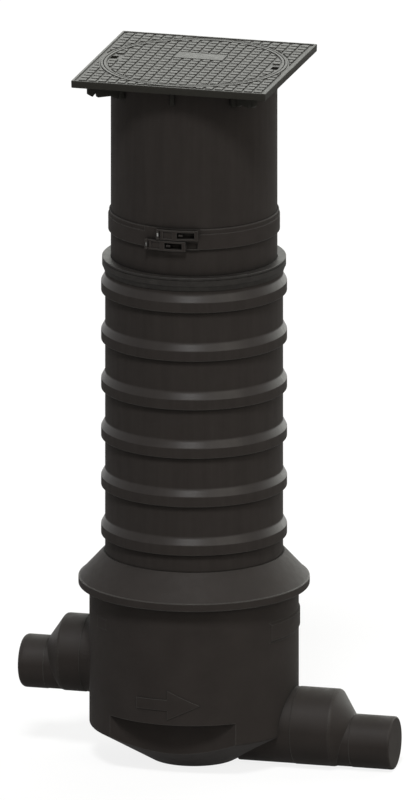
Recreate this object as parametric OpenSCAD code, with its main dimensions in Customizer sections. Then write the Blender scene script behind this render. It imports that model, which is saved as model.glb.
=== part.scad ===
// Drain inspection chamber with a corrugated riser and a telescopic cast-iron cover.
// +Z is up, +X is the direction of flow, and the origin is the centre of the foot's underside.

/* [Pipe connections] */
// Outside diameter of the larger pipe size
pipe_large = 160; // [150:1:180]
// Outside diameter of the smaller pipe size
pipe_small = 110; // [100:1:120]
// Wall of the spigots
spigot_wall = 5; // [4:0.5:8]
// Height of the inlet's larger step above the foot, to its axis
inlet_z = 202; // [180:1:215]
// Distance from the chamber's wall to the end of the inlet's larger step
inlet_large_out = 57; // [48:0.5:70]
// Distance from the chamber's wall to the closed end of the inlet
inlet_out = 147.3; // [135:0.1:176]
// Distance from the chamber's wall to the end of the outlet's larger step
outlet_large_out = 92.5; // [78:0.5:111]
// Distance from the chamber's wall to the closed end of the outlet
outlet_out = 211.8; // [190:0.1:254]
// Length of the slanted step between the two pipe sizes
step_run = 34; // [28:1:40]

/* [Base chamber] */
// Distance from the riser's outside to the chamber's wall
base_room = 32.2; // [27:0.1:38]
// Diameter of the flat foot
foot_d = 177; // [140:1:215]
// Wall of the chamber
base_wall = 6.5; // [5:0.5:9]
// Height of the brim's underside
brim_z = 366; // [350:1:440]
// Distance that the brim stands out of the chamber's wall
brim_out = 22.5; // [19:0.5:27]
// Height of the brim
brim_h = 17; // [12:0.5:22]
// Height of the ledges over the front and back flats
ledge_z = 119; // [95:1:130]
// Distance that the front and back flats are set in from the chamber's wall
flat_in = 46.5; // [38:0.5:52]
// Depth of the socket that takes the riser
socket_depth = 90; // [70:1:110]

/* [Riser] */
// Outside diameter of the riser between its ribs
riser_d = 364.6; // [304:0.2:438]
// Distance that the ribs stand out of the riser
rib_out = 8.2; // [6.8:0.1:9.8]
// Height of a rib's upright face
rib_h = 21.4; // [16:0.1:28]
// Height of the cone above the face
rib_cone = 15; // [10:0.5:20]
// Distance between ribs
rib_pitch = 102.9; // [80:0.1:125]
// Number of ribs
rib_count = 6; // [3:1:8]
// Wall of the riser
riser_wall = 5; // [4:0.5:7]
// Distance from the chamber's top edge to the middle of the first rib's face
riser_neck = 47.1; // [30:0.1:60]
// Distance from the middle of the last rib's face to the riser's top edge
riser_head = 52.2; // [46:0.1:65]

/* [Telescope] */
// Free room between the riser's bore and the telescopic pipe
tele_play = 6.6; // [5.6:0.1:8]
// Wall of the telescopic pipe
tele_wall = 7; // [5:0.5:9]
// Length of the telescopic pipe that stands above the riser
tele_out = 403; // [330:1:490]
// Length of the telescopic pipe inside the riser
tele_in = 205; // [160:1:250]
// Height of the seal above the riser's top edge
seal_cap = 10; // [8:0.5:13]
// Length of the seal's skirt below the riser's top edge
seal_skirt = 18; // [12:0.5:22]

/* [Clamp band] */
// Distance from the riser's top edge to the band's lower edge
band_gap = 67; // [50:1:90]
// Height of the band
band_h = 34; // [30:0.5:38]
// Height of the thin lip on top of the band
band_lip_h = 9.6; // [8:0.1:12]
// Thickness of the band
band_t = 5; // [4:0.5:7]
// Distance that the latch links stand off the band
link_lift = 3.5; // [2:0.5:5]
// Length of a latch link
link_len = 82; // [70:1:90]
// Height of a latch link
link_h = 21; // [16:0.5:24]

/* [Cover] */
// Distance that the square frame's sides stand out of the telescopic pipe
frame_out = 35.3; // [30:0.1:42]
// Thickness of the frame, with its raised studs
frame_t = 15; // [13:0.5:18]
// Narrowest part of the frame beside the lid
lid_inset = 21; // [18:0.5:25]
// Height of the studs
stud_h = 3; // [1.5:0.5:4]
// Distance between studs
stud_pitch = 20.6; // [17:0.1:25]
// Width of the groove between studs
stud_gap = 4.4; // [3:0.1:6]
// Width of the smooth rims on the lid and the frame
rim_w = 6; // [4:0.5:8]
// Width of the seat that the lid rests on
seat_w = 32; // [27:0.5:38]
// Depth of the frame's collar inside the telescopic pipe
collar_h = 45; // [30:1:60]

/* [Hidden] */
$fn = 96;
big = 2000;        // longer than the whole chamber
seat_gap = 0.3;    // between a piece and what it rests on or slides along
eps = 0.01;

moulding = [0.17, 0.16, 0.155];
seal_grey = [0.42, 0.42, 0.40];
steel = [0.62, 0.62, 0.60];
iron = [0.36, 0.36, 0.34];

riser_r = riser_d / 2;
rib_r = riser_r + rib_out;
large_r = pipe_large / 2;
small_r = pipe_small / 2;
base_r = riser_r + base_room;
foot_r = foot_d / 2;
brim_r = base_r + brim_out;
flat_y = base_r - flat_in;
inlet_large_end = base_r + inlet_large_out;
inlet_end = base_r + inlet_out;
outlet_large_end = base_r + outlet_large_out;
outlet_end = base_r + outlet_out;
cone_slope = tan(30);
spigot_start = foot_r + 15;
step_rise = 0.3;   // the small pipe's underside lies this much above the large pipe's
step_skin = 0.12;  // the step lies this much inside the pipes that it joins
step_edge = 8;     // rounding where the larger pipe size ends
relief = 0.7;      // how much thinner a spigot is where no pipe is pushed over it
blend_reach = 8;
brim_flat = 2.5;   // width of the level edge on the brim
mouth_flat = 3.2;  // width of the level edge round the riser
large_start = base_r + blend_reach + 0.5;
brim_top_z = brim_z + brim_h;
base_top_z = brim_top_z + brim_r - riser_r - 1.5;
socket_r = riser_r + seat_gap;
socket_wall = 9;
socket_z = base_top_z - socket_depth;
sleeve_r = socket_r + socket_wall;
ring_z = base_top_z - 30;
ring_h = 10;
ring_t = 6;

riser_z = socket_z + seat_gap;
first_rib_z = base_top_z + riser_neck;
last_rib_z = first_rib_z + (rib_count - 1) * rib_pitch;
riser_top_z = last_rib_z + riser_head;

tele_r = riser_r - riser_wall - tele_play;
tele_top_z = riser_top_z + tele_out;
frame_z = tele_top_z + seat_gap;
cover_z = frame_z + frame_t;

band_z = riser_top_z + band_gap;
band_r = tele_r + seat_gap + band_t;

frame_half = tele_r + frame_out;
frame_w = 2 * frame_half;
lid_r = frame_half - lid_inset;
pocket_r = lid_r + 1.5;
seat_z = frame_z + 4;
opening_r = lid_r - seat_w;
collar_r = tele_r - tele_wall - seat_gap;

// ---------------------------------------------------------------- shared shapes

// The points that round the corner b of the outline a, b, c to radius r.
function rounded(a, b, c, r, steps = 5) =
    let (u = (a - b) / norm(a - b), v = (c - b) / norm(c - b),
         half = acos(max(-1, min(1, u * v))) / 2,
         centre = b + (u + v) / norm(u + v) * r / sin(half),
         from = b + u * r / tan(half) - centre,
         to = b + v * r / tan(half) - centre,
         sweep = 180 - 2 * half,
         turn = sign(from[0] * to[1] - from[1] * to[0]))
    [for (i = [0 : steps]) let (g = turn * sweep * i / steps)
        centre + [from[0] * cos(g) - from[1] * sin(g), from[0] * sin(g) + from[1] * cos(g)]];

// A vertical wedge that keeps what lies between two bearings, counted from -Y towards +X.
module wedge(from, to, r) {
    steps = 6;
    linear_extrude(height = big)
        polygon(concat([[0, 0]],
            [for (i = [0 : steps]) let (a = from + (to - from) * i / steps) [r * sin(a), -r * cos(a)]]));
}

// A flat ring.
module ring(r_out, r_in, z, h)
    translate([0, 0, z]) difference() {
        cylinder(r = r_out, h = h);
        translate([0, 0, -1]) cylinder(r = r_in, h = h + 2);
    }

// ---------------------------------------------------------------- base chamber

// Half section of the chamber's body, moved inwards by t.
module base_section(t) {
    foot_in = foot_r - t * tan(15);
    corners = [
        [0, t], [foot_in, t],
        [base_r - t, t + (base_r - t - foot_in) * cone_slope],
        [base_r - t, brim_z + t],
        [brim_r - t, brim_z + t],
        [brim_r - t, brim_top_z - t],
        [brim_r - brim_flat - t, brim_top_z - t],
        [riser_r + mouth_flat - t, base_top_z - t],
        [0, base_top_z - t]];
    radii = [0, 8, 6, 3, 3, 1.5, 0, 3, 0];
    polygon([for (i = [0 : len(corners) - 1])
        each radii[i] > 0 ? rounded(corners[i - 1], corners[i], corners[i + 1], radii[i]) : [corners[i]]]);
}

// The space in front of and behind the flats, below their ledges.
module flats_space(t)
    for (side = [-1, 1])
        translate([-big / 2, side > 0 ? flat_y - t : -big - flat_y + t, -big + ledge_z + t])
            cube([big, big, big]);

// Lays a shape that stands on the origin along +X, on the height z.
module along_x(x, z) translate([x, 0, z]) rotate([0, 90, 0]) children();

// One spigot along +X, from the distance start to its closed end, moved inwards by t.
// A pipe size has its full diameter only where a pipe is pushed over it, and is relieved a little
// nearer the chamber.
module spigot(z, start, large_end, end, edge, t) {
    large = large_r - t;
    small = small_r - t;
    small_z = z - large_r + small_r + step_rise;
    small_start = large_end + step_run - t;
    overlap = 2;
    fall = atan((pipe_large - pipe_small) / step_run);
    bend = max(0, step_edge - t);
    bend_start = large_end - t - bend * tan(fall / 2);
    along_x(start, z) cylinder(r = large - relief, h = bend_start - start);
    along_x(large_start, z) cylinder(r = large, h = bend_start - large_start);
    along_x(large_end - t - overlap, small_z) cylinder(r = small - relief, h = step_run + 2 * overlap);
    along_x(small_start, small_z) rotate_extrude() {
        square([small, end - t - edge - small_start]);
        square([small - edge, end - t - small_start]);
        translate([small - edge, end - t - edge - small_start]) intersection() {
            circle(r = edge);
            square(edge);
        }
    }
    // the step: its large end is upright with a rounded edge, and its small end leans with the top
    // further out
    lean = atan(step_run / pipe_small);
    hull() {
        for (turn = [0 : fall / 4 : fall])
            along_x(bend_start + bend * sin(turn) - eps, z)
                cylinder(r = large - step_skin - bend * (1 - cos(turn)), h = eps, $fn = 64);
        intersection() {
            along_x(large_end - t - overlap, small_z)
                cylinder(r = small - relief - step_skin, h = step_run + 2 * overlap, $fn = 64);
            translate([large_end - t, 0, z - large_r]) rotate([0, lean, 0])
                translate([-big / 2, 0, 0]) cube([big, big, big], center = true);
        }
    }
}

// The moulded blend where a spigot along +X leaves the wall. Angles go round the spigot's axis from
// +Y over the top, and the blend fades out at both ends of its sweep unless it is a full turn.
module root_blend(z, from, to, reach) {
    steps = 60;
    arc = 6;
    full = to - from == 360;
    sunk = 3;
    skin = relief + 0.2;
    bite = 0.3;
    function wall_x(rho, a) = sqrt(pow(base_r, 2) - pow(rho * cos(a), 2));
    function fade(k) = full ? 1 : min(1, 6 * min(k, steps - k) / steps);
    function bend(p, q, r, k) = pow(1 - k, 2) * p + 2 * k * (1 - k) * q + k * k * r;
    function section(a, f) =
        let (pipe_reach = base_r + reach - wall_x(large_r, a),
             on_pipe = [wall_x(large_r, a) + f * pipe_reach / reach, large_r - skin],
             corner = [wall_x(large_r, a), large_r],
             on_wall = [wall_x(large_r + f, a) - bite, large_r + f])
        concat([on_pipe - [0, sunk]],
               [for (i = [0 : arc]) bend(on_pipe, corner, on_wall, i / arc)],
               [on_wall - [sunk, 0], [corner[0] - sunk, large_r - sunk]]);
    count = arc + 4;
    rows = full ? steps : steps + 1;
    points = [for (k = [0 : rows - 1]) let (a = from + (to - from) * k / steps)
        each [for (p = section(a, 1 + (reach - 1) * fade(k))) [p[0], p[1] * cos(a), z + p[1] * sin(a)]]];
    sides = [for (k = [0 : steps - 1], i = [0 : count - 1])
        let (n = (k + 1) % rows, j = (i + 1) % count)
        each [[k * count + i, n * count + i, n * count + j], [k * count + i, n * count + j, k * count + j]]];
    ends = full ? [] : [[for (i = [0 : count - 1]) i],
                        [for (i = [count - 1 : -1 : 0]) (rows - 1) * count + i]];
    polyhedron(points = points, faces = concat(sides, ends));
}

module inlet(start, t) mirror([1, 0, 0]) spigot(inlet_z, start, inlet_large_end, inlet_end, 12, t);
module outlet(start, t) spigot(large_r, start, outlet_large_end, outlet_end, 4, t);

// A low raised field on the chamber's wall, with sloping edges all round.
module raised_field(out, z, h, from, to) {
    slope = 2 * out;
    side = slope / base_r * 180 / PI;
    out_r = base_r + out;
    function spot(r, a) = [r * sin(a), -r * cos(a)];
    intersection() {
        rotate_extrude() polygon([[base_r - 2, z], [base_r, z], [out_r, z + slope],
            [out_r, z + h - slope], [base_r, z + h], [base_r - 2, z + h]]);
        linear_extrude(height = big) polygon([[0, 0], spot(base_r, from), spot(out_r, from + side),
            spot(big, from + side), spot(big, to - side), spot(out_r, to - side), spot(base_r, to)]);
    }
}

// Raised pads and the flow arrow stand out of the chamber's wall.
module wall_marks() {
    raised_field(2.8, brim_z - 90, 44, 60.7, 119.3);
    raised_field(1.2, brim_z - 71, 25, -52.3, -41.3);
    arrow_out = 1.5;
    arrow_z = ledge_z + 42;
    arrow_len = 135;
    intersection() {
        ring(base_r + arrow_out, base_r - 2, ledge_z + 5, 80);
        translate([0, 0, arrow_z]) rotate([90, 0, 0]) linear_extrude(height = big)
            polygon([[-arrow_len / 2, -11.5], [0, -11.5], [0, -31], [arrow_len / 2, 0],
                     [0, 31], [0, 11.5], [-arrow_len / 2, 11.5]]);
    }
}

module base_chamber() color(moulding) difference() {
    union() {
        difference() {
            rotate([0, 0, 45]) rotate_extrude() base_section(0);
            flats_space(0);
        }
        inlet(spigot_start, 0);
        outlet(spigot_start, 0);
        mirror([1, 0, 0]) root_blend(inlet_z, 0, 360, blend_reach / 2);
        root_blend(large_r, 18, 162, blend_reach);
        wall_marks();
    }
    // the inside, around the sleeve that takes the riser
    difference() {
        union() {
            difference() {
                rotate([0, 0, 45]) rotate_extrude() base_section(base_wall);
                flats_space(base_wall);
            }
            inlet(0, spigot_wall);
            outlet(0, spigot_wall);
        }
        ring(sleeve_r, socket_r - 9, socket_z - 6, big);
    }
    translate([0, 0, socket_z]) cylinder(r = socket_r, h = big);
    translate([0, 0, ring_z - seat_gap])
        cylinder(r = riser_r + ring_t + 2 * seat_gap, h = ring_h + 2 * seat_gap);
}

// ---------------------------------------------------------------- riser

// Half section of one rib, moved inwards by t: an upright face over a sharp shoulder, and a cone
// that runs back into the riser.
module rib_section(t) {
    half = rib_h / 2;
    sunk = t * tan(atan(rib_out / rib_cone) / 2);
    blend = 6;
    corners = [
        [0, t - half], [rib_r - t, t - half],
        [rib_r - t, half - sunk],
        [riser_r - t, half + rib_cone - sunk],
        [riser_r - t, half + rib_cone + blend],
        [0, half + rib_cone + blend]];
    radii = [0, 1.5, 4, 12, 0, 0];
    polygon([for (i = [0 : len(corners) - 1])
        each radii[i] > 0 ? rounded(corners[i - 1], corners[i], corners[i + 1], radii[i]) : [corners[i]]]);
}

module riser_pipe() color(moulding) difference() {
    union() {
        translate([0, 0, riser_z]) cylinder(r = riser_r, h = riser_top_z - riser_z);
        for (i = [0 : rib_count - 1])
            translate([0, 0, first_rib_z + i * rib_pitch]) rotate_extrude() rib_section(0);
    }
    translate([0, 0, riser_z - 1]) cylinder(r = riser_r - riser_wall, h = riser_top_z - riser_z + 2);
    for (i = [0 : rib_count - 1])
        translate([0, 0, first_rib_z + i * rib_pitch]) rotate_extrude() rib_section(riser_wall);
}

module riser_ring_seal() color(seal_grey)
    ring(riser_r + ring_t, riser_r + seat_gap, ring_z, ring_h);

// ---------------------------------------------------------------- telescope

// The seal caps the riser's top edge, grips its outside and wipes the telescopic pipe.
module telescope_seal() {
    lip_r = tele_r + seat_gap;
    web_z = riser_top_z + seat_gap;
    top_z = web_z + seal_cap;
    rim_r = riser_r + 6.2;
    skirt_in = riser_r + seat_gap;
    skirt_z = riser_top_z - seal_skirt;
    face_z = riser_top_z - 8;
    groove_z = top_z - 6;
    groove = 1.5;
    ridges = 4;
    rise = (face_z - skirt_z) / ridges;
    widen = (rim_r - skirt_in - 2.5) / ridges;
    color(seal_grey) rotate_extrude() polygon(concat(
        [[lip_r, top_z], [lip_r, web_z - 22], [lip_r + 2, web_z - 22],
         [riser_r - riser_wall - 1, web_z - 2], [riser_r - riser_wall - 1, web_z],
         [skirt_in, web_z], [skirt_in, skirt_z]],
        [for (i = [0 : ridges - 1]) let (r = skirt_in + 1 + i * widen, z = skirt_z + i * rise)
            each [[r, z], [r + 0.8, z + rise * 0.3], [r + 0.8, z + rise * 0.7]]],
        [[rim_r - 1.5, face_z], [rim_r, face_z + 1], [rim_r, groove_z], [rim_r - groove, groove_z + 0.3],
         [rim_r - groove, groove_z + 1.2], [rim_r, groove_z + groove], [rim_r, top_z - 1],
         [rim_r - 1, top_z]]));
}

module telescope_pipe() color(moulding)
    ring(tele_r, tele_r - tele_wall, riser_top_z - tele_in, tele_in + tele_out);

// ---------------------------------------------------------------- clamp band

// Bearings on the band, in degrees from -Y towards +X.
upper_pin_at = -9.1;
lower_pin_at = -17.3;
link_t = 4;
pin_r = 2;
eye_r = pin_r + 1.6;
knuckle_h = 13;
link_r = band_r + link_lift;
link_angle = link_len / (band_r * PI) * 180;
links_middle_z = band_z + (band_h + band_lip_h) / 2 - 1.8;
upper_link_z = links_middle_z + link_h / 2 + 1;
lower_link_z = links_middle_z - link_h / 2 - 1;
pin_axis_r = link_r + eye_r;
window_h = link_h - 8;
window_from = 0.48;   // shares of a link's length, from its pin
tongue_share = 0.57;

module at_bearing(angle, r) rotate([0, 0, angle]) translate([0, -r, 0]) children();

// Half section of the band: upright, with a thinner lip on top.
module band_section() {
    bore = tele_r + seat_gap;
    soft = 1.5;
    lip_r = band_r - 1.9;
    lip_z = band_z + band_h;
    top_z = lip_z + band_lip_h;
    polygon([[bore, band_z], [band_r - soft, band_z], [band_r, band_z + soft],
             [band_r, lip_z - 1], [lip_r, lip_z], [lip_r, top_z - soft], [lip_r - soft, top_z],
             [bore, top_z]]);
}

// One half of the closure on the band: an open knuckle for the pin and a small tongue.
module band_catch(pin_at, z) {
    tongue = [8, link_lift + link_t + band_t, 4];
    sunk = 1.5;
    pin_gap = knuckle_h - 5;
    foot = pin_axis_r - band_r + 1;
    at_bearing(pin_at + link_angle * tongue_share, 0)
        translate([-tongue[0] / 2, sunk - link_r - link_t, z - tongue[2] / 2]) cube(tongue);
    at_bearing(pin_at, pin_axis_r) difference() {
        translate([0, 0, z - knuckle_h / 2]) {
            cylinder(r = eye_r, h = knuckle_h);
            translate([-eye_r, 0, 0]) cube([2 * eye_r, foot, knuckle_h]);
        }
        translate([-eye_r - 1, -eye_r - 1, z - pin_gap / 2]) cube([2 * eye_r + 2, eye_r + 1, pin_gap]);
    }
}

// The well in the band behind a link's window, round the tongue.
module window_well(pin_at, z) {
    well = 3.5;
    difference() {
        intersection() {
            ring(band_r + 1, band_r - well, z - window_h / 2, window_h);
            wedge(pin_at + link_angle * window_from, pin_at + link_angle - 2.4, big);
        }
        band_catch(pin_at, z);
    }
}

module clamp_band() color(moulding) difference() {
    union() {
        rotate_extrude() band_section();
        band_catch(upper_pin_at, upper_link_z);
        band_catch(lower_pin_at, lower_link_z);
        // backing behind the two links, where the band's ends overlap
        intersection() {
            ring(band_r, tele_r + seat_gap, band_z, band_h + band_lip_h);
            wedge(lower_pin_at - 3, upper_pin_at + link_angle + 1, big);
        }
    }
    translate([0, 0, band_z - big / 2]) cylinder(r = tele_r + seat_gap, h = big);
    for (at = [[upper_pin_at, upper_link_z], [lower_pin_at, lower_link_z]]) {
        at_bearing(at[0], pin_axis_r) translate([0, 0, at[1] - link_h])
            cylinder(r = pin_r + 0.05, h = 2 * link_h);
        window_well(at[0], at[1]);
    }
    // pocket beside the lower link's end
    intersection() {
        ring(band_r + 1, band_r - 3.5, lower_link_z - window_h / 2, window_h);
        wedge(lower_pin_at + link_angle + 0.8, lower_pin_at + link_angle + 8, big);
    }
}

// A link: a curved plate with a window, and an eye that turns on its pin.
module latch_link(pin_at, z) {
    far = pin_at + link_angle;
    difference() {
        union() {
            intersection() {
                ring(link_r + link_t, link_r, z - link_h / 2, link_h);
                wedge(pin_at, far, big);
            }
            at_bearing(pin_at, pin_axis_r) translate([0, 0, z - link_h / 2])
                cylinder(r = eye_r, h = link_h);
        }
        // gap for the band's knuckle, and room for the eye to turn past the band
        at_bearing(pin_at, pin_axis_r) translate([0, 0, z - knuckle_h / 2 - 0.5])
            cylinder(r = eye_r + 2.4, h = knuckle_h + 1);
        intersection() {
            ring(link_r + link_t + 5, link_r - 5, z - window_h / 2, window_h);
            wedge(pin_at + link_angle * window_from, far - 2.4, big);
        }
        at_bearing(pin_at, pin_axis_r) translate([0, 0, z - link_h])
            cylinder(r = pin_r + 0.05, h = 2 * link_h);
        // shallow square field between the eye and the window
        intersection() {
            ring(link_r + link_t + 1, link_r + link_t - 1.5, z - window_h / 2 - 0.5, window_h + 1);
            wedge(pin_at + link_angle * 0.14, pin_at + link_angle * 0.36, big);
        }
    }
}

module latch_pin(pin_at, z)
    at_bearing(pin_at, pin_axis_r) translate([0, 0, z - link_h / 2 + 0.5])
        cylinder(r = pin_r, h = link_h - 1);

module latch_link_upper() color(moulding) latch_link(upper_pin_at, upper_link_z);
module latch_link_lower() color(moulding) latch_link(lower_pin_at, lower_link_z);
module latch_pin_upper() color(steel) latch_pin(upper_pin_at, upper_link_z);
module latch_pin_lower() color(steel) latch_pin(lower_pin_at, lower_link_z);

// ---------------------------------------------------------------- cover

// Flat pattern of square studs over the whole cover.
module stud_grid() {
    stud = stud_pitch - stud_gap;
    count = floor((frame_half - rim_w - stud / 2) / stud_pitch);
    for (i = [-count : count], j = [-count : count])
        translate([i * stud_pitch, j * stud_pitch]) square(stud, center = true);
}

// The bare boss in the middle of the lid.
boss_size = [104, 46];
boss_y = 52;
module boss_outline() translate([-boss_size[0] / 2, boss_y - boss_size[1] / 2]) square(boss_size);

key_size = [15, 23];
module key_slots(z, h)
    for (side = [-1, 1])
        translate([side * (lid_r - 15) - key_size[0] / 2, 4 - key_size[1] / 2, z])
            cube([key_size[0], key_size[1], h]);

module cover_lid() color(iron) difference() {
    union() {
        translate([0, 0, seat_z + seat_gap]) cylinder(r = lid_r, h = cover_z - stud_h - seat_z - seat_gap);
        translate([0, 0, cover_z - stud_h - eps]) linear_extrude(height = stud_h + eps) {
            difference() {
                circle(r = lid_r);
                circle(r = lid_r - rim_w);
            }
            boss_outline();
            difference() {
                intersection() {
                    stud_grid();
                    circle(r = lid_r - rim_w - 2);
                }
                translate([-boss_size[0] / 2 - 3, boss_y - boss_size[1] / 2 - 3])
                    square([boss_size[0] + 6, boss_size[1] + 6]);
            }
        }
        // stiffening ring and cross ribs underneath
        rib_depth = 16;
        ring(opening_r - 8, opening_r - 18, seat_z - rib_depth, rib_depth + 2);
        for (turn = [0, 90]) rotate([0, 0, turn])
            translate([-opening_r + 12, -4, seat_z - rib_depth]) cube([2 * opening_r - 24, 8, rib_depth + 2]);
    }
    key_slots(seat_z - 1, frame_t + 2);
}

// A gusset under one corner of the frame, as [distance from the axis, height].
module gusset() {
    inner = tele_r + 2 * seat_gap;
    outer = frame_half * sqrt(2) - 40;
    under = frame_z + eps;
    web_t = 10;
    rotate([90, 0, 0]) translate([0, 0, -web_t / 2]) linear_extrude(height = web_t)
        polygon([[inner, under], [inner, under - 39], [inner + 12, under - 37], [inner + 28, under - 29],
                 [outer - 22, under - 28], [outer - 20, under - 19], [outer - 15, under - 19],
                 [outer - 9, under - 25], [outer, under - 19], [outer, under]]);
    difference() {
        translate([inner, -14, under - 36]) cube([11, 28, 36]);
        translate([0, 0, under - 50]) cylinder(r = inner, h = 60);
    }
}

// A small rib that keeps the pipe centred, in the middle of one side.
module centring_rib()
    translate([tele_r + 2 * seat_gap, -4, frame_z - 32]) cube([5, 8, 32 + eps]);

module cover_frame() color(iron) {
    top_z = cover_z - stud_h;
    difference() {
        union() {
            translate([-frame_half, -frame_half, frame_z]) cube([frame_w, frame_w, top_z - frame_z]);
            translate([0, 0, frame_z - collar_h]) cylinder(r = collar_r, h = collar_h + eps);
            translate([0, 0, top_z - eps]) linear_extrude(height = stud_h + eps) difference() {
                union() {
                    difference() {
                        square(frame_w, center = true);
                        square(frame_w - 2 * rim_w, center = true);
                    }
                    difference() {
                        intersection() {
                            stud_grid();
                            square(frame_w - 2 * rim_w - 3, center = true);
                        }
                        circle(r = pocket_r + rim_w + 2);
                    }
                    circle(r = pocket_r + rim_w);
                }
                circle(r = pocket_r);
            }
            for (corner = [45 : 90 : 315]) rotate([0, 0, corner]) gusset();
            for (side = [0 : 90 : 270]) rotate([0, 0, side]) centring_rib();
        }
        translate([0, 0, seat_z]) cylinder(r = pocket_r, h = frame_t);
        translate([0, 0, frame_z - collar_h - 1]) cylinder(r = opening_r, h = collar_h + frame_t);
    }
}

base_chamber();
riser_ring_seal();
riser_pipe();
telescope_seal();
telescope_pipe();
clamp_band();
latch_link_upper();
latch_pin_upper();
latch_link_lower();
latch_pin_lower();
cover_frame();
cover_lid();
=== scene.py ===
import math

import bmesh
import bpy
from mathutils import Matrix, Vector
from mathutils.geometry import delaunay_2d_cdt


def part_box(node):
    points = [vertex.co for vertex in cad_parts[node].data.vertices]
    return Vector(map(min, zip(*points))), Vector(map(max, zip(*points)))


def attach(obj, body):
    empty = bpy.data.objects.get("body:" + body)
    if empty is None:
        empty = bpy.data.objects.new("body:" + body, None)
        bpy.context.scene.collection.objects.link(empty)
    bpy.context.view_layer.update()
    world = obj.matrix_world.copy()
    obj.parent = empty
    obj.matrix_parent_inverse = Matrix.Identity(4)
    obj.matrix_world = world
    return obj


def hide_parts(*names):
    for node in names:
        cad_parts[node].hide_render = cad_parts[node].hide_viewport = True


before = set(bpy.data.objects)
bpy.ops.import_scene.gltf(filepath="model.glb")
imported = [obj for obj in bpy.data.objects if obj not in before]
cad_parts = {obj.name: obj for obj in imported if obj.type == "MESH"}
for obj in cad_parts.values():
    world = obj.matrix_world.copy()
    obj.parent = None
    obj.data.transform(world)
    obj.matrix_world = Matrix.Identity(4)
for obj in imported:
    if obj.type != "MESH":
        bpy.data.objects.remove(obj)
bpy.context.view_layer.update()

# ---------------------------------------------------------------- base chamber
# The chamber that the drains run into, with its foot, brim, stepped inlet and stepped outlet. It is one
# thick moulding in black polypropylene, with an orange-peel skin and faint flow clouds from the mould.
# Handling rubs its edges smooth, and dust settles on what faces up. Its open edges are painted pale as a
# painted highlight, and its corners, creases and undersides are painted darker as painted shade.
CHAMBER_BLACK = (0.0165, 0.0137, 0.0123, 1)
CHAMBER_CLOUD = (0.0205, 0.0171, 0.0155, 1)
# Painted shade: corners, creases and undersides are darkened towards this colour.
PAINTED_SHADE_DARK = (0.0065, 0.0056, 0.0049, 1)
# Painted highlight: open rounded edges are lightened towards this colour.
EDGE_HIGHLIGHT_PALE = (0.075, 0.073, 0.068, 1)
DUST = (0.050, 0.047, 0.040, 1)
PLASTIC_GLOSS = 0.17
WALL_DULL = 0.97  # roughness of an upright wall
EDGE_ROUND = 0.0022
EDGE_SHINE = -0.30  # change of roughness on a rubbed edge
OCCLUSION_REACH = 0.014
SPIGOT_START = 0.19  # distance from the axis where the spigots' finish begins
SPIGOT_BLEND = 0.05
SPIGOT_EDGE_HIGHLIGHT = 0.75  # painted edge highlight on the spigots, as a share of the brim's
BRIM_FOOT = 0.355  # height where the brim's finish begins
BRIM_BLEND = 0.01
WALL_EDGE_HIGHLIGHT = 0.35  # painted edge highlight on the wall, as a share of the brim's
PADS_FROM = 0.29  # height where the raised pads begin
PADS_BLEND = 0.004


def step(tree, kind, feeds=None, **settings):
    """Adds one shader step, sets its plain settings, and feeds its sockets from steps or numbers."""
    node = tree.nodes.new("ShaderNode" + kind)
    for name, value in settings.items():
        setattr(node, name, value)
    for socket, value in (feeds or {}).items():
        if isinstance(value, bpy.types.NodeSocket):
            tree.links.new(value, node.inputs[socket])
        else:
            node.inputs[socket].default_value = value
    return node


def begin_finish(name):
    """Starts a material and gives its tree, its shader and the point on the piece."""
    material = bpy.data.materials.new(name)
    material.use_nodes = True
    tree = material.node_tree
    shader = tree.nodes["Principled BSDF"]
    point = step(tree, "TexCoord").outputs["Object"]
    return material, tree, shader, point


def grain(tree, point, scale, detail=2.0, roughness=0.5, stretch=(1, 1, 1)):
    """A cloud of noise on the piece, with so many lumps to the metre."""
    placed = step(tree, "Mapping", {"Vector": point, "Scale": stretch}).outputs["Vector"]
    feeds = {"Vector": placed, "Scale": scale, "Detail": detail, "Roughness": roughness}
    return step(tree, "TexNoise", feeds).outputs["Fac"]


def spread(tree, value, low, high, to_low, to_high):
    """Turns the stretch low..high of a value into to_low..to_high."""
    feeds = {"Value": value, "From Min": low, "From Max": high, "To Min": to_low, "To Max": to_high}
    return step(tree, "MapRange", feeds).outputs["Result"]


def blend_colours(tree, amount, first, second):
    """Mixes two colours by an amount."""
    node = step(tree, "Mix", data_type="RGBA")
    for socket, value in ((0, amount), (6, first), (7, second)):
        if isinstance(value, bpy.types.NodeSocket):
            tree.links.new(value, node.inputs[socket])
        else:
            node.inputs[socket].default_value = value
    return node.outputs[2]


def facing_up(tree):
    """How far a spot faces up: 1 on a level top, 0 on an upright wall, below 0 underneath."""
    normal = step(tree, "NewGeometry").outputs["Normal"]
    return step(tree, "SeparateXYZ", {"Vector": normal}).outputs["Z"]


def scaled(tree, first, second):
    """Two values multiplied."""
    return step(tree, "Math", {0: first, 1: second}, operation="MULTIPLY").outputs["Value"]


def added(tree, first, second):
    """Two values added."""
    return step(tree, "Math", {0: first, 1: second}, operation="ADD").outputs["Value"]


def larger(tree, first, second):
    """The larger of two values."""
    return step(tree, "Math", {0: first, 1: second}, operation="MAXIMUM").outputs["Value"]


def edge_rounding(tree):
    """The surface's direction with its edges rounded over, and how far a spot lies on an edge."""
    rounded = step(tree, "Bevel", {"Radius": EDGE_ROUND}, samples=6).outputs["Normal"]
    flat = step(tree, "NewGeometry").outputs["Normal"]
    alike = step(tree, "VectorMath", {0: flat, 1: rounded}, operation="DOT_PRODUCT").outputs["Value"]
    return rounded, spread(tree, alike, 0.995, 0.96, 0.0, 1.0)


def bumped(tree, height, strength, distance, below):
    """A surface direction with a bump laid over the one below it."""
    feeds = {"Height": height, "Strength": strength, "Distance": distance, "Normal": below}
    return step(tree, "Bump", feeds).outputs["Normal"]


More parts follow.
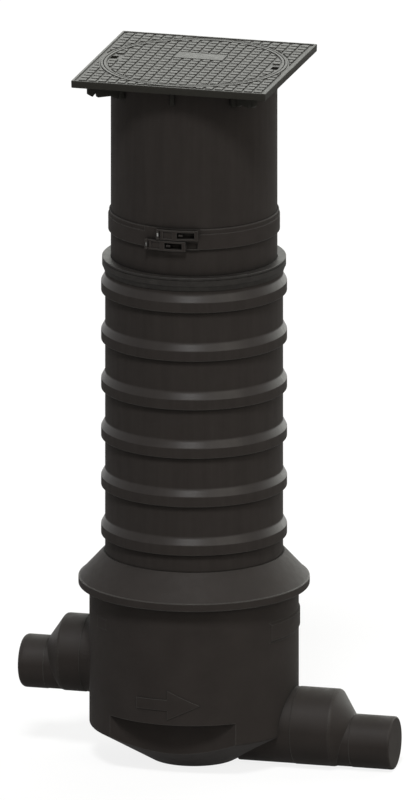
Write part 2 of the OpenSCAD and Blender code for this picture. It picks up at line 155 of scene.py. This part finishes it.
def handled_plastic(tree, shader, point, skin, slope, dust_share, edge_highlight_share):
    """Puts dust on a skin, pales its open edges as a painted highlight while rubbing them smoother,
    darkens its corners, creases and undersides as painted shade, and sets how dull it is. Gives the
    direction of the surface with its edges rounded over."""
    up = facing_up(tree)
    open_air = step(tree, "AmbientOcclusion", {"Distance": OCCLUSION_REACH}, samples=8).outputs["AO"]
    rounded, edge = edge_rounding(tree)
    # Open edges: rubbed smoother, and also lightened below as a painted highlight.
    rubbed = scaled(tree, edge, spread(tree, open_air, 0.80, 0.97, 0.0, 1.0))
    patches = spread(tree, grain(tree, point, 38, 5), 0.38, 0.66, 0.3, 1.0)
    dust = scaled(tree, spread(tree, up, 0.6, 0.98, 0.0, 1.0), patches)
    # Painted shade: darker in corners, under overhangs and on faces that look down.
    in_corners = spread(tree, open_air, 0.45, 0.9, 1.0, 0.0)
    underneath = spread(tree, up, -0.1, -0.8, 0.0, 0.45)
    painted_shade = larger(tree, in_corners, underneath)
    colour = blend_colours(tree, scaled(tree, dust, dust_share), skin, DUST)
    colour = blend_colours(tree, painted_shade, colour, PAINTED_SHADE_DARK)
    colour = blend_colours(tree, scaled(tree, rubbed, edge_highlight_share), colour, EDGE_HIGHLIGHT_PALE)
    tree.links.new(colour, shader.inputs["Base Color"])
    wiped = spread(tree, up, 0.05, 0.35, WALL_DULL, slope)
    scuffs = spread(tree, grain(tree, point, 55, 6, 0.65), 0.35, 0.7, -0.03, 0.05)
    dullness = added(tree, added(tree, wiped, scuffs), scaled(tree, dust, 0.2))
    tree.links.new(added(tree, dullness, scaled(tree, rubbed, EDGE_SHINE)), shader.inputs["Roughness"])
    shader.inputs["Specular IOR Level"].default_value = PLASTIC_GLOSS
    return rounded


def moulded_black(name, slope, spigot_slope, peel, dust_share, edge_highlight_share):
    """Black moulded plastic with flow clouds and an orange-peel skin. Its slopes are smoother out on
    the spigots and dull on the wall's raised pads, and the painted highlight on its edges is strongest on
    the brim."""
    material, tree, shader, point = begin_finish(name)
    place = step(tree, "SeparateXYZ", {"Vector": point}).outputs
    outwards = step(tree, "Math", {0: place["X"]}, operation="ABSOLUTE").outputs["Value"]
    spigot_end = SPIGOT_START + SPIGOT_BLEND
    brim_start = BRIM_FOOT - BRIM_BLEND
    on_brim = spread(tree, place["Z"], brim_start, BRIM_FOOT, WALL_EDGE_HIGHLIGHT * edge_highlight_share, edge_highlight_share)
    on_spigots = spread(tree, outwards, SPIGOT_START, spigot_end, 0.0, SPIGOT_EDGE_HIGHLIGHT * edge_highlight_share)
    pale_edge_amount = larger(tree, on_brim, on_spigots)
    above = spread(tree, place["Z"], PADS_FROM - PADS_BLEND, PADS_FROM, 0.0, 1.0)
    below = spread(tree, place["Z"], brim_start, BRIM_FOOT, 1.0, 0.0)
    on_pads = scaled(tree, above, below)
    elsewhere = spread(tree, outwards, SPIGOT_START, spigot_end, slope, spigot_slope)
    slope_dull = spread(tree, on_pads, 0.0, 1.0, elsewhere, WALL_DULL)
    clouds = spread(tree, grain(tree, point, 14, 5, 0.6), 0.35, 0.68, 0.0, 1.0)
    skin = blend_colours(tree, clouds, CHAMBER_BLACK, CHAMBER_CLOUD)
    rounded = handled_plastic(tree, shader, point, skin, slope_dull, dust_share, pale_edge_amount)
    lumps = bumped(tree, grain(tree, point, 60, 2), 0.2, 0.0010, rounded)
    orange_peel = bumped(tree, grain(tree, point, 430, 3, 0.6), peel, 0.0005, lumps)
    tree.links.new(orange_peel, shader.inputs["Normal"])
    return material


def finish_node(node, material):
    """Gives a carried-over node its material."""
    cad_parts[node].data.materials[0] = material


finish_node("base_chamber", moulded_black(
    "chamber_polypropylene", slope=0.62, spigot_slope=0.54, peel=0.3, dust_share=0.2, edge_highlight_share=1.0))

# ---------------------------------------------------------------- riser ring seal
# The ring seal that lies in the chamber's groove around the riser's lower end. It is moulded in black
# rubber, dull and a little mottled, and nothing of it shows once the riser is in.
RUBBER_BLACK = (0.0135, 0.0120, 0.0110, 1)
RUBBER_BLOOM = (0.0230, 0.0215, 0.0195, 1)
RUBBER_GLOSS = 0.2


def rubber(name):
    """Dull rubber with a pale bloom in patches."""
    material, tree, shader, point = begin_finish(name)
    bloom = spread(tree, grain(tree, point, 70, 6, 0.6), 0.42, 0.72, 0.0, 1.0)
    tree.links.new(blend_colours(tree, bloom, RUBBER_BLACK, RUBBER_BLOOM), shader.inputs["Base Color"])
    wiped = spread(tree, facing_up(tree), 0.05, 0.6, 0.86, 0.46)
    tree.links.new(added(tree, wiped, scaled(tree, bloom, 0.08)), shader.inputs["Roughness"])
    feeds = {"Height": grain(tree, point, 700, 3, 0.6), "Strength": 0.25, "Distance": 0.0004}
    tree.links.new(step(tree, "Bump", feeds).outputs["Normal"], shader.inputs["Normal"])
    shader.inputs["Specular IOR Level"].default_value = RUBBER_GLOSS
    return material


seal_skin = rubber("seal_rubber_black")
finish_node("riser_ring_seal", seal_skin)

# ---------------------------------------------------------------- riser
# The corrugated riser, with six hollow ribs that each have an upright face and a cone above it. It is
# blown from black polypropylene in one length, with faint streaks along the pipe.
PIPE_BLACK = (0.0170, 0.0142, 0.0128, 1)
PIPE_STREAK = (0.0202, 0.0170, 0.0154, 1)
PIPE_DUST = 0.2
# Share of the painted edge highlight on the pipes.
PIPE_EDGE_HIGHLIGHT = 0.5


def drawn_black(name, slope, streak_bump):
    """Black pipe plastic with streaks along the pipe and a fine skin."""
    material, tree, shader, point = begin_finish(name)
    streaks = spread(tree, grain(tree, point, 60, 4, 0.6, (1, 1, 0.06)), 0.36, 0.68, 0.0, 1.0)
    skin = blend_colours(tree, streaks, PIPE_BLACK, PIPE_STREAK)
    rounded = handled_plastic(tree, shader, point, skin, slope, PIPE_DUST, PIPE_EDGE_HIGHLIGHT)
    drawn = bumped(tree, grain(tree, point, 420, 2, 0.5, (1, 1, 0.03)), streak_bump, 0.0004, rounded)
    fine_skin = bumped(tree, grain(tree, point, 460, 3, 0.6), 0.25, 0.0005, drawn)
    tree.links.new(fine_skin, shader.inputs["Normal"])
    return material


finish_node("riser_pipe", drawn_black("riser_polypropylene", slope=0.36, streak_bump=0.06))

# ---------------------------------------------------------------- telescope seal
# The lip seal on the riser's top edge, which wipes the telescopic pipe. It is the same black rubber as
# the ring seal, pressed over the riser's edge by hand.
finish_node("telescope_seal", seal_skin)

# ---------------------------------------------------------------- telescopic pipe
# The smooth pipe that slides in the riser and carries the cover. It is extruded in black polypropylene, so
# fine lines from the die run along it.
finish_node("telescope_pipe", drawn_black("telescope_polypropylene", slope=0.55, streak_bump=0.2))

# ---------------------------------------------------------------- clamp band
# The band round the telescopic pipe, which stops it from sliding down, with the knuckles and tongues of
# its buckle. It is moulded in black plastic and pulled tight round the pipe by the buckle.
band_skin = moulded_black(
    "band_plastic_black", slope=0.75, spigot_slope=0.75, peel=0.2, dust_share=0.1, edge_highlight_share=0.3)
finish_node("clamp_band", band_skin)

# ---------------------------------------------------------------- latch links
# The two windowed links of the buckle, moulded in the same black plastic as the band. Each turns on a
# pin at one end, and its window snaps over a tongue of the band.
for link in ("latch_link_upper", "latch_link_lower"):
    finish_node(link, band_skin)

# ---------------------------------------------------------------- latch pins
# The pins that the links turn on, cut from zinc-plated steel wire and pushed through the band's knuckles.
# The lower one is painted darker than the upper as painted shade, for the shadow it lies in.
ZINC = (0.26, 0.26, 0.25, 1)
ZINC_DULL = (0.13, 0.13, 0.125, 1)
# Painted shade: dull zinc darkened further for the lower pin, which lies in shadow.
ZINC_DULL_SHADED = (0.06, 0.06, 0.057, 1)


def plated_wire(name, clean, dull):
    """Zinc-plated wire with dull patches and drawing lines."""
    material, tree, shader, point = begin_finish(name)
    patches = spread(tree, grain(tree, point, 420, 4), 0.4, 0.65, 0.0, 1.0)
    tree.links.new(blend_colours(tree, patches, clean, dull), shader.inputs["Base Color"])
    tree.links.new(spread(tree, patches, 0.0, 1.0, 0.38, 0.55), shader.inputs["Roughness"])
    lines = grain(tree, point, 2600, 2, 0.5, (1, 1, 0.05))
    feeds = {"Height": lines, "Strength": 0.2, "Distance": 0.0001}
    tree.links.new(step(tree, "Bump", feeds).outputs["Normal"], shader.inputs["Normal"])
    shader.inputs["Metallic"].default_value = 1.0
    return material


finish_node("latch_pin_upper", plated_wire("pin_zinc", ZINC, ZINC_DULL))
# Painted shade: the lower pin takes darker copies of the zinc colours for the shadow it lies in.
finish_node("latch_pin_lower", plated_wire("pin_zinc_shaded", ZINC_DULL, ZINC_DULL_SHADED))

# ---------------------------------------------------------------- cover frame
# The square frame that sits on the telescopic pipe: a plate with raised studs, a smooth ring around the
# lid's pocket, a collar inside the pipe, and gussets under its corners. It is cast in grey iron in a sand
# mould and dipped in black paint, so every edge is a little soft.
IRON_BLACK = (0.0150, 0.0142, 0.0118, 1)
IRON_WORN = (0.0260, 0.0255, 0.0215, 1)
IRON_GLOSS = 0.127
WEAR_FROM = 0.7  # share of a stud's height from which its paint wears
FRAME_LOW, FRAME_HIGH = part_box("cover_frame")
FRAME_HALF = FRAME_HIGH[0]
COVER_TOP = FRAME_HIGH[2]
PLATE_T = 0.015
PLATE_LOW = COVER_TOP - PLATE_T
STUD_H = 0.002
FLOOR_Z = COVER_TOP - STUD_H
STUD_PITCH = 0.0206
STUD_SIDE = 0.0162
STUD_DRAFT = 0.0006
STUD_ROWS = 9
STUD_LEAST = 0.1  # a stud is left out where less than this share of it remains
STUD_CLEAR = 0.0022
EDGE_SOFT = 0.0005
SMOOTH_BELOW = math.radians(35)
RIM_W = 0.006
POCKET_R = 0.1865
SEAT_Z = PLATE_LOW + 0.004
OPENING_R = 0.153
COLLAR_R = 0.1634
COLLAR_LOW = FRAME_LOW[2]
TURN_STEPS = 180


def round_line(radius, steps=TURN_STEPS):
    """Points on a circle, counter-clockwise."""
    return [Vector((radius * math.cos(math.tau * k / steps), radius * math.sin(math.tau * k / steps)))
            for k in range(steps)]


def soft_square(half, corner, steps=6):
    """Points on a square with rounded corners, counter-clockwise."""
    points = []
    for quarter in range(4):
        middle = math.tau * (quarter + 0.5) / 4
        centre = Vector((math.copysign(half - corner, math.cos(middle)),
                         math.copysign(half - corner, math.sin(middle))))
        for k in range(steps + 1):
            turn = math.tau * (quarter + k / steps) / 4
            points.append(centre + corner * Vector((math.cos(turn), math.sin(turn))))
    return points


def keep_side(outline, normal, reach):
    """Cuts a convex outline along a straight line and keeps what lies below reach along normal."""
    kept = []
    for here, there in zip(outline, outline[1:] + outline[:1]):
        a = here.dot(normal) - reach
        b = there.dot(normal) - reach
        if a <= 0:
            kept.append(here)
        if (a < 0) != (b < 0) and abs(a - b) > 1e-9:
            kept.append(here.lerp(there, a / (a - b)))
    return kept


def area(outline):
    """The area inside an outline."""
    return 0.5 * sum(a.x * b.y - a.y * b.x for a, b in zip(outline, outline[1:] + outline[:1]))


def drawn_in(outline, by):
    """A convex outline with every side moved inwards."""
    inner = []
    count = len(outline)
    for k in range(count):
        before, here, after = outline[k - 1], outline[k], outline[(k + 1) % count]
        first = (here - before).normalized()
        second = (after - here).normalized()
        n1, n2 = Vector((-first.y, first.x)), Vector((-second.y, second.x))
        inner.append(here + (n1 + n2) * by / (1 + n1.dot(n2)))
    return inner


def tidy_outline(outline, nearest=0.0012):
    """Drops points that lie almost on each other."""
    kept = []
    for point in outline:
        if not kept or (point - kept[-1]).length > nearest:
            kept.append(point)
    if len(kept) > 2 and (kept[0] - kept[-1]).length < nearest:
        kept.pop()
    return kept


def field(half_x, half_y, x, y):
    """A rectangle's corners, counter-clockwise."""
    return [Vector((x + half_x * a, y + half_y * b)) for a, b in ((-1, -1), (1, -1), (1, 1), (-1, 1))]


def stud_outlines(keep):
    """The outlines of the cover's studs, cut by the function keep and left out where little remains."""
    outlines = []
    half = STUD_SIDE / 2
    for i in range(-STUD_ROWS, STUD_ROWS + 1):
        for j in range(-STUD_ROWS, STUD_ROWS + 1):
            centre = Vector((i * STUD_PITCH, j * STUD_PITCH))
            outline = tidy_outline(keep(centre, field(half, half, *centre)))
            if len(outline) >= 3 and area(outline) > STUD_LEAST * STUD_SIDE ** 2:
                outlines.append(outline)
    return outlines


def stud_floor(mesh, z, outer, holes, studs):
    """Fills a flat face between an outer line, its holes and the studs, and raises the studs. Gives
    the corners of the outer line and of each hole."""
    loops = [outer] + holes + studs
    points = [p for loop in loops for p in loop]
    starts = [sum(len(l) for l in loops[:k]) for k in range(len(loops))]
    faces = [[starts[k] + n for n in range(len(loop))] for k, loop in enumerate(loops)]
    flat, _, cells, sources, _, inside = delaunay_2d_cdt(points, [], faces, 1, 1e-7)
    corners = [mesh.verts.new((p.x, p.y, z)) for p in flat]
    at = {}
    for new, olds in enumerate(sources):
        for old in olds:
            at[old] = corners[new]
    for cell, owners in zip(cells, inside):
        if set(owners) == {0}:
            mesh.faces.new([corners[k] for k in cell])
    rings = [[at[k] for k in face] for face in faces]
    for loop, ring in zip(studs, rings[1 + len(holes):]):
        raise_stud(mesh, ring, loop, z)
    return rings[0], rings[1:1 + len(holes)]


def raise_stud(mesh, ring, outline, z):
    """Raises one stud with drafted sides and a soft top edge."""
    mesh.faces.new(sweep_up(mesh, ring, [
        (drawn_in(outline, STUD_DRAFT), z + STUD_H - EDGE_SOFT),
        (drawn_in(outline, STUD_DRAFT + EDGE_SOFT), z + STUD_H)]))


def join_rings(mesh, lower, upper):
    """Joins two rings of as many corners with quads."""
    count = len(lower)
    for k in range(count):
        n = (k + 1) % count
        mesh.faces.new((lower[k], lower[n], upper[n], upper[k]))


def sweep_up(mesh, start, lines):
    """Goes on from a ring of corners through flat lines, each given with its height, and gives the
    last ring."""
    ring = start
    for line, z in lines:
        following = [mesh.verts.new((p.x, p.y, z)) for p in line]
        join_rings(mesh, ring, following)
        ring = following
    return ring


def make_piece(name, mesh, body, material, replaced):
    """Turns finished mesh work into a piece that stands for a node of the frame."""
    bmesh.ops.recalc_face_normals(mesh, faces=mesh.faces)
    for face in mesh.faces:
        face.smooth = True
    for edge in mesh.edges:
        edge.smooth = edge.calc_face_angle(math.pi) < SMOOTH_BELOW
    data = bpy.data.meshes.new(name)
    mesh.to_mesh(data)
    mesh.free()
    piece = bpy.data.objects.new(name, data)
    bpy.context.scene.collection.objects.link(piece)
    data.materials.append(material)
    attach(piece, body)
    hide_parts(replaced)


def painted_iron(name):
    """Cast iron dipped in black paint: sand grain, dull patches, and wear on what stands highest."""
    material, tree, shader, point = begin_finish(name)
    height = step(tree, "SeparateXYZ", {"Vector": point}).outputs["Z"]
    on_top = spread(tree, height, FLOOR_Z + WEAR_FROM * STUD_H, COVER_TOP, 0.0, 1.0)
    rubbed = spread(tree, grain(tree, point, 90, 6, 0.65), 0.36, 0.66, 0.0, 1.0)
    wear = scaled(tree, on_top, rubbed)
    tree.links.new(blend_colours(tree, wear, IRON_BLACK, IRON_WORN), shader.inputs["Base Color"])
    trodden = spread(tree, facing_up(tree), 0.1, 0.8, 0.85, 0.40)
    tree.links.new(added(tree, trodden, scaled(tree, rubbed, -0.08)), shader.inputs["Roughness"])
    feeds = {"Height": grain(tree, point, 260, 4, 0.65), "Strength": 0.15, "Distance": 0.0008}
    lumps = step(tree, "Bump", feeds).outputs["Normal"]
    sand = bumped(tree, grain(tree, point, 1100, 3, 0.6), 0.2, 0.0003, lumps)
    tree.links.new(sand, shader.inputs["Normal"])
    shader.inputs["Specular IOR Level"].default_value = IRON_GLOSS
    return material


iron_skin = painted_iron("cover_iron_painted")


def outside_ring(centre, corners):
    """Keeps the part of a stud that lies on the frame, outside the smooth ring."""
    if centre.length < 1e-6:
        return []
    direction = centre.normalized()
    return keep_side(corners, -direction, -(POCKET_R + RIM_W + STUD_CLEAR))


def reach_out(outline):
    """How far an outline reaches from the cover's middle towards a side."""
    return max(max(abs(point.x), abs(point.y)) for point in outline)


frame_mesh = bmesh.new()
border_in = FRAME_HALF - RIM_W
frame_studs = [o for o in stud_outlines(outside_ring) if reach_out(o) < border_in - EDGE_SOFT]
border_line, ring_lines = stud_floor(
    frame_mesh, FLOOR_Z, soft_square(border_in, 0.0010), [round_line(POCKET_R + RIM_W)], frame_studs)
under_line, collar_lines = stud_floor(
    frame_mesh, PLATE_LOW, soft_square(FRAME_HALF - 0.0010, 0.0020), [round_line(COLLAR_R)], [])
plate_side = sweep_up(frame_mesh, border_line, [
    (soft_square(border_in + STUD_DRAFT, 0.0010), COVER_TOP - EDGE_SOFT),
    (soft_square(border_in + STUD_DRAFT + EDGE_SOFT, 0.0010), COVER_TOP),
    (soft_square(FRAME_HALF - 0.0009, 0.0020), COVER_TOP),
    (soft_square(FRAME_HALF - 0.0003, 0.0022), COVER_TOP - 0.0003),
    (soft_square(FRAME_HALF, 0.0024), COVER_TOP - 0.0010),
    (soft_square(FRAME_HALF - 0.0004, 0.0024), PLATE_LOW + 0.0008)])
join_rings(frame_mesh, plate_side, under_line)
pocket_side = sweep_up(frame_mesh, ring_lines[0], [
    (round_line(POCKET_R + RIM_W - STUD_DRAFT), COVER_TOP - EDGE_SOFT),
    (round_line(POCKET_R + RIM_W - STUD_DRAFT - EDGE_SOFT), COVER_TOP),
    (round_line(POCKET_R + 0.0008), COVER_TOP),
    (round_line(POCKET_R + 0.0002), COVER_TOP - 0.0002),
    (round_line(POCKET_R), COVER_TOP - 0.0008),
    (round_line(POCKET_R - 0.0003), SEAT_Z + 0.0008),
    (round_line(POCKET_R - 0.0010), SEAT_Z),
    (round_line(OPENING_R + 0.0006), SEAT_Z),
    (round_line(OPENING_R), SEAT_Z - 0.0006),
    (round_line(OPENING_R), COLLAR_LOW + 0.0010),
    (round_line(OPENING_R + 0.0010), COLLAR_LOW),
    (round_line(COLLAR_R - 0.0010), COLLAR_LOW),
    (round_line(COLLAR_R), COLLAR_LOW + 0.0010)])
join_rings(frame_mesh, pocket_side, collar_lines[0])


WEB_SOFT = 0.0008


def merge_in(mesh, part):
    """Moves a part's mesh work into a larger one."""
    data = bpy.data.meshes.new("part")
    part.to_mesh(data)
    part.free()
    mesh.from_mesh(data)
    bpy.data.meshes.remove(data)


def cast_web(mesh, outline, thick, turn):
    """Adds an upright web, given as (distance from the axis, height), turned about the axis."""
    web = bmesh.new()
    sides = []
    for side in (-1, 1):
        sides.append([web.verts.new((r, side * thick / 2, z)) for r, z in outline])
    join_rings(web, sides[0], sides[1])
    web.faces.new(sides[0][::-1])
    web.faces.new(sides[1])
    bmesh.ops.recalc_face_normals(web, faces=web.faces)
    bmesh.ops.bevel(web, geom=web.edges[:], offset=WEB_SOFT, segments=2, affect="EDGES", profile=0.5)
    bmesh.ops.triangulate(web, faces=[f for f in web.faces if len(f.verts) > 4])
    bmesh.ops.rotate(web, verts=web.verts, cent=(0, 0, 0), matrix=Matrix.Rotation(turn, 3, "Z"))
    merge_in(mesh, web)


PIPE_R = 0.1707
GUSSET_IN = PIPE_R + 0.0006
GUSSET_OUT = FRAME_HALF * math.sqrt(2) - 0.040
GUSSET_T = 0.0098
PAD_W = 0.027
CENTRING_T = 0.0078
WEB_TOP = PLATE_LOW + 0.0010
gusset_line = [
    (GUSSET_IN, WEB_TOP), (GUSSET_IN, PLATE_LOW - 0.039), (GUSSET_IN + 0.012, PLATE_LOW - 0.037),
    (GUSSET_IN + 0.028, PLATE_LOW - 0.029), (GUSSET_OUT - 0.022, PLATE_LOW - 0.028),
    (GUSSET_OUT - 0.020, PLATE_LOW - 0.019), (GUSSET_OUT - 0.015, PLATE_LOW - 0.019),
    (GUSSET_OUT - 0.009, PLATE_LOW - 0.025), (GUSSET_OUT, PLATE_LOW - 0.019), (GUSSET_OUT, WEB_TOP)]
pad_line = [(GUSSET_IN + 0.0004, WEB_TOP), (GUSSET_IN + 0.0004, PLATE_LOW - 0.036),
            (GUSSET_IN + 0.0104, PLATE_LOW - 0.036), (GUSSET_IN + 0.0104, WEB_TOP)]
centring_line = [(GUSSET_IN, WEB_TOP), (GUSSET_IN, PLATE_LOW - 0.032),
                 (GUSSET_IN + 0.0048, PLATE_LOW - 0.032), (GUSSET_IN + 0.0048, WEB_TOP)]
for quarter in range(4):
    cast_web(frame_mesh, gusset_line, GUSSET_T, math.tau * (quarter + 0.5) / 4)
    cast_web(frame_mesh, pad_line, PAD_W, math.tau * (quarter + 0.5) / 4)
    cast_web(frame_mesh, centring_line, CENTRING_T, math.tau * quarter / 4)
make_piece("frame_casting", frame_mesh, "telescope", iron_skin, "cover_frame")

# ---------------------------------------------------------------- cover lid
# The round lid that lies loose in the frame, with the same studs, a smooth rim, two keyholes to lift it
# by and a bare raised field in the middle. It is cast in the same grey iron, with a ring and a cross of
# ribs underneath, and dipped in the same paint.
LID_LOW, LID_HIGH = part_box("cover_lid")
LID_R = LID_HIGH[0]
LID_GAP = 0.0003
LID_UNDER = SEAT_Z + LID_GAP
FIELD_HALF = (0.052, 0.023)
FIELD_Y = 0.052
FIELD_CLEAR = 0.003
KEY_HALF = (0.0075, 0.0115)
KEY_CLEAR = 0.0015
KEY_X = LID_R - 0.015
KEY_Y = 0.004
RIB_LOW = LID_LOW[2]


def inside_rim(centre, corners):
    """Keeps the part of a stud that lies on the lid, clear of its rim, bare field and keyholes."""
    limit = LID_R - RIM_W - STUD_CLEAR
    outline = keep_side(corners, centre.normalized(), limit) if centre.length > 1e-6 else corners
    if not outline:
        return []
    low = FIELD_Y - FIELD_HALF[1] - FIELD_CLEAR
    high = FIELD_Y + FIELD_HALF[1] + FIELD_CLEAR
    side = FIELD_HALF[0] + FIELD_CLEAR
    if low < centre.y < high and abs(centre.x) < side + STUD_SIDE / 2:
        if abs(centre.x) < side - STUD_SIDE / 4:
            return []
        outline = keep_side(outline, Vector((-math.copysign(1, centre.x), 0)), -side)
    elif abs(centre.x) < side:
        if centre.y >= high and centre.y - STUD_SIDE / 2 < high:
            outline = keep_side(outline, Vector((0, -1)), -high)
        if centre.y <= low and centre.y + STUD_SIDE / 2 > low:
            outline = keep_side(outline, Vector((0, 1)), low)
    reach_x = KEY_HALF[0] + STUD_SIDE / 2 + KEY_CLEAR
    reach_y = KEY_HALF[1] + STUD_SIDE / 2 + KEY_CLEAR
    if abs(abs(centre.x) - KEY_X) < reach_x and abs(centre.y - KEY_Y) < reach_y:
        return []
    return outline


keyholes = [field(*KEY_HALF, side * KEY_X, KEY_Y) for side in (-1, 1)]
lid_mesh = bmesh.new()
rim_line, key_tops = stud_floor(
    lid_mesh, FLOOR_Z, round_line(LID_R - RIM_W), keyholes,
    stud_outlines(inside_rim) + [field(*FIELD_HALF, 0, FIELD_Y)])
under_rim, key_bottoms = stud_floor(
    lid_mesh, LID_UNDER, round_line(LID_R - 0.0012), keyholes, [])
for top, bottom in zip(key_tops, key_bottoms):
    join_rings(lid_mesh, bottom, top)
lid_side = sweep_up(lid_mesh, rim_line, [
    (round_line(LID_R - RIM_W + STUD_DRAFT), COVER_TOP - EDGE_SOFT),
    (round_line(LID_R - RIM_W + STUD_DRAFT + EDGE_SOFT), COVER_TOP),
    (round_line(LID_R - 0.0008), COVER_TOP),
    (round_line(LID_R - 0.0002), COVER_TOP - 0.0002),
    (round_line(LID_R), COVER_TOP - 0.0008),
    (round_line(LID_R - 0.0004), LID_UNDER + 0.0008)])
join_rings(lid_mesh, lid_side, under_rim)

RIB_TOP = LID_UNDER + 0.001
RIB_SOFT = 0.0012
rib_section = [
    (OPENING_R - 0.008, RIB_TOP), (OPENING_R - 0.0086, RIB_LOW + RIB_SOFT), (OPENING_R - 0.0098, RIB_LOW),
    (OPENING_R - 0.0166, RIB_LOW), (OPENING_R - 0.0178, RIB_LOW + RIB_SOFT), (OPENING_R - 0.018, RIB_TOP)]
ring_rib = bmesh.new()
rib_rings = [[ring_rib.verts.new((p.x, p.y, z)) for p in round_line(r)] for r, z in rib_section]
for lower, upper in zip(rib_rings, rib_rings[1:] + rib_rings[:1]):
    join_rings(ring_rib, lower, upper)
merge_in(lid_mesh, ring_rib)
CROSS_HALF = OPENING_R - 0.0165
CROSS_T = 0.008
cross_line = [(-CROSS_HALF, RIB_TOP), (-CROSS_HALF, RIB_LOW), (CROSS_HALF, RIB_LOW), (CROSS_HALF, RIB_TOP)]
for turn in (0, math.pi / 2):
    cast_web(lid_mesh, cross_line, CROSS_T, turn)
make_piece("lid_casting", lid_mesh, "lid", iron_skin, "cover_lid")

# ---------------------------------------------------------------- studio
# A plain pale floor under the foot and pale surroundings, with three broad lamps: one high in front, a
# weaker one to the right, and one low behind that brings out what faces up.
FLOOR_SIZE = 30.0
FLOOR_DROP = 0.0005
FLOOR_GREY = (0.86, 0.86, 0.86, 1)
FLOOR_OWN_WHITE = 0.8
FLOOR_GLOW = 1.06
WHITE = (1, 1, 1, 1)
SKY_LIGHT = 0.06
SKY_SHOWN = 1.0
floor_mesh = bmesh.new()
bmesh.ops.create_grid(floor_mesh, x_segments=2, y_segments=2, size=FLOOR_SIZE / 2)
floor_data = bpy.data.meshes.new("studio_floor")
floor_mesh.to_mesh(floor_data)
floor_mesh.free()
floor = bpy.data.objects.new("studio_floor", floor_data)
floor.location.z = -FLOOR_DROP
bpy.context.scene.collection.objects.link(floor)


def seen(tree):
    """1 where a ray comes straight from the camera, a reflection or a clear piece, and 0 for light."""
    ray = step(tree, "LightPath").outputs
    straight = larger(tree, ray["Is Camera Ray"], ray["Is Glossy Ray"])
    return larger(tree, straight, ray["Is Transmission Ray"])


def pale_floor(name):
    """White floor: nearly full white where it is seen, with the object's shadow kept on it."""
    material = bpy.data.materials.new(name)
    material.use_nodes = True
    tree = material.node_tree
    tree.nodes.clear()
    share = scaled(tree, seen(tree), FLOOR_OWN_WHITE)
    matt = step(tree, "BsdfDiffuse", {"Color": FLOOR_GREY}).outputs["BSDF"]
    white = step(tree, "Emission", {"Color": WHITE, "Strength": FLOOR_GLOW}).outputs["Emission"]
    both = step(tree, "MixShader", {0: share, 1: matt, 2: white}).outputs["Shader"]
    step(tree, "OutputMaterial", {"Surface": both})
    return material


floor_data.materials.append(pale_floor("pale_floor"))

world = bpy.data.worlds.new("pale_surroundings")
world.use_nodes = True
bpy.context.scene.world = world
sky = world.node_tree
sky.nodes.clear()
sky_strength = spread(sky, seen(sky), 0, 1, SKY_LIGHT, SKY_SHOWN)
air = step(sky, "Background", {"Color": WHITE, "Strength": sky_strength}).outputs["Background"]
step(sky, "OutputWorld", {"Surface": air})


def look_from(bearing, height):
    """The direction towards a place, by its bearing from the front towards the right and its height,
    both in degrees."""
    around, up = math.radians(bearing), math.radians(height)
    return Vector((math.sin(around) * math.cos(up), -math.cos(around) * math.cos(up), math.sin(up)))


def broad_lamp(name, bearing, height, strength, width, colour=(1, 1, 1)):
    """A far lamp that is as many degrees wide as width."""
    data = bpy.data.lights.new(name, "SUN")
    data.color = colour
    data.energy = strength
    data.angle = math.radians(width)
    lamp = bpy.data.objects.new(name, data)
    lamp.rotation_euler = look_from(bearing, height).to_track_quat("Z", "Y").to_euler()
    bpy.context.scene.collection.objects.link(lamp)


broad_lamp("front_lamp", bearing=8, height=55, strength=2.3, width=14)
broad_lamp("right_lamp", bearing=60, height=28, strength=1.05, width=40, colour=(1, 0.96, 0.86))
broad_lamp("back_lamp", bearing=168, height=25, strength=2.12, width=80, colour=(0.98, 1, 0.92))

# ---------------------------------------------------------------- camera
# Looks at the chamber from the front right and a little from above, with no perspective.
BEARING = 15
HEIGHT = 15
AIM_RIGHT = 0.031525
AIM_UP = 0.72712
VIEW_TALL = 1.6377
CAMERA_AWAY = 4
towards = look_from(BEARING, HEIGHT)
to_right = look_from(BEARING + 90, 0)
upwards = towards.cross(to_right)
aim = to_right * AIM_RIGHT + upwards * AIM_UP
camera_data = bpy.data.cameras.new("camera")
camera_data.type = "ORTHO"
camera_data.ortho_scale = VIEW_TALL
camera_data.clip_end = 60
camera = bpy.data.objects.new("camera", camera_data)
camera.location = aim + towards * CAMERA_AWAY
camera.rotation_euler = towards.to_track_quat("Z", "Y").to_euler()
bpy.context.scene.collection.objects.link(camera)
bpy.context.scene.camera = camera
bpy.context.scene.view_settings.view_transform = "Standard"
